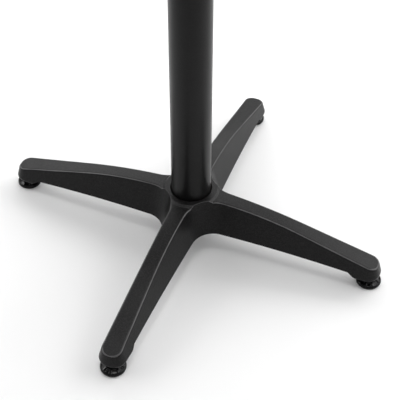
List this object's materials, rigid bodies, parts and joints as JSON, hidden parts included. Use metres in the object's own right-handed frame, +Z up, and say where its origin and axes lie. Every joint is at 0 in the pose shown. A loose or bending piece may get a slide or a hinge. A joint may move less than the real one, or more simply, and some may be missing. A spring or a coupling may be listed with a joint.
{
  "type": "pedestal table base",
  "caption": "Cast four-legged star base with a round column, a top spider for a table top, and screw-in levelling glides, black powder coated.",
  "frame": {"origin": "on the floor, on the column's axis", "axes": "+Z up along the column; a leg points along each of -Y, +X, +Y and -X"},
  "size_m": [0.78, 0.78, 0.72],
  "materials": {
    "coated_casting": "matte black powder coat, fine texture",
    "coated_steel": "satin black powder coat",
    "zinc_steel": "bright zinc plate",
    "black_zinc_steel": "black zinc plate",
    "nylon": "glossy moulded black nylon"
  },
  "bodies": {
    "base": {"star_casting": "coated_casting", "column_tube": "coated_steel", "top_spider": "coated_steel", "tie_rod": "zinc_steel", "lower_clamp_washer": "zinc_steel", "lower_lock_washer": "zinc_steel", "lower_rod_nut": "zinc_steel", "upper_flat_washer": "zinc_steel", "upper_lock_washer": "zinc_steel", "upper_rod_nut": "zinc_steel"},
    "pad_front": {"glide_pad_front": "nylon"},
    "stud_front": {"glide_stud_front": "black_zinc_steel", "glide_nut_front": "black_zinc_steel"},
    "pad_right": {"glide_pad_right": "nylon"},
    "stud_right": {"glide_stud_right": "black_zinc_steel", "glide_nut_right": "black_zinc_steel"},
    "pad_back": {"glide_pad_back": "nylon"},
    "stud_back": {"glide_stud_back": "black_zinc_steel", "glide_nut_back": "black_zinc_steel"},
    "pad_left": {"glide_pad_left": "nylon"},
    "stud_left": {"glide_stud_left": "black_zinc_steel", "glide_nut_left": "black_zinc_steel"}
  },
  "joints": [
    {"name": "glide_front_travel", "type": "slide", "parent": "base", "child": "pad_front", "axis": [0, 0, -1], "range_m": [0, 0.012]},
    {"name": "glide_front_turn", "type": "hinge", "parent": "pad_front", "child": "stud_front", "pos_m": [0, -0.366, 0.02], "axis": [0, 0, -1], "range_deg": [0, 3460]},
    {"name": "glide_right_travel", "type": "slide", "parent": "base", "child": "pad_right", "axis": [0, 0, -1], "range_m": [0, 0.012]},
    {"name": "glide_right_turn", "type": "hinge", "parent": "pad_right", "child": "stud_right", "pos_m": [0.366, 0, 0.02], "axis": [0, 0, -1], "range_deg": [0, 3460]},
    {"name": "glide_back_travel", "type": "slide", "parent": "base", "child": "pad_back", "axis": [0, 0, -1], "range_m": [0, 0.012]},
    {"name": "glide_back_turn", "type": "hinge", "parent": "pad_back", "child": "stud_back", "pos_m": [0, 0.366, 0.02], "axis": [0, 0, -1], "range_deg": [0, 3460]},
    {"name": "glide_left_travel", "type": "slide", "parent": "base", "child": "pad_left", "axis": [0, 0, -1], "range_m": [0, 0.012]},
    {"name": "glide_left_turn", "type": "hinge", "parent": "pad_left", "child": "stud_left", "pos_m": [-0.366, 0, 0.02], "axis": [0, 0, -1], "range_deg": [0, 3460]}
  ],
  "couplings": [
    {"joint": "glide_front_turn", "follows": "glide_front_travel", "rad_per_m": 5026.5},
    {"joint": "glide_right_turn", "follows": "glide_right_travel", "rad_per_m": 5026.5},
    {"joint": "glide_back_turn", "follows": "glide_back_travel", "rad_per_m": 5026.5},
    {"joint": "glide_left_turn", "follows": "glide_left_travel", "rad_per_m": 5026.5}
  ]
}
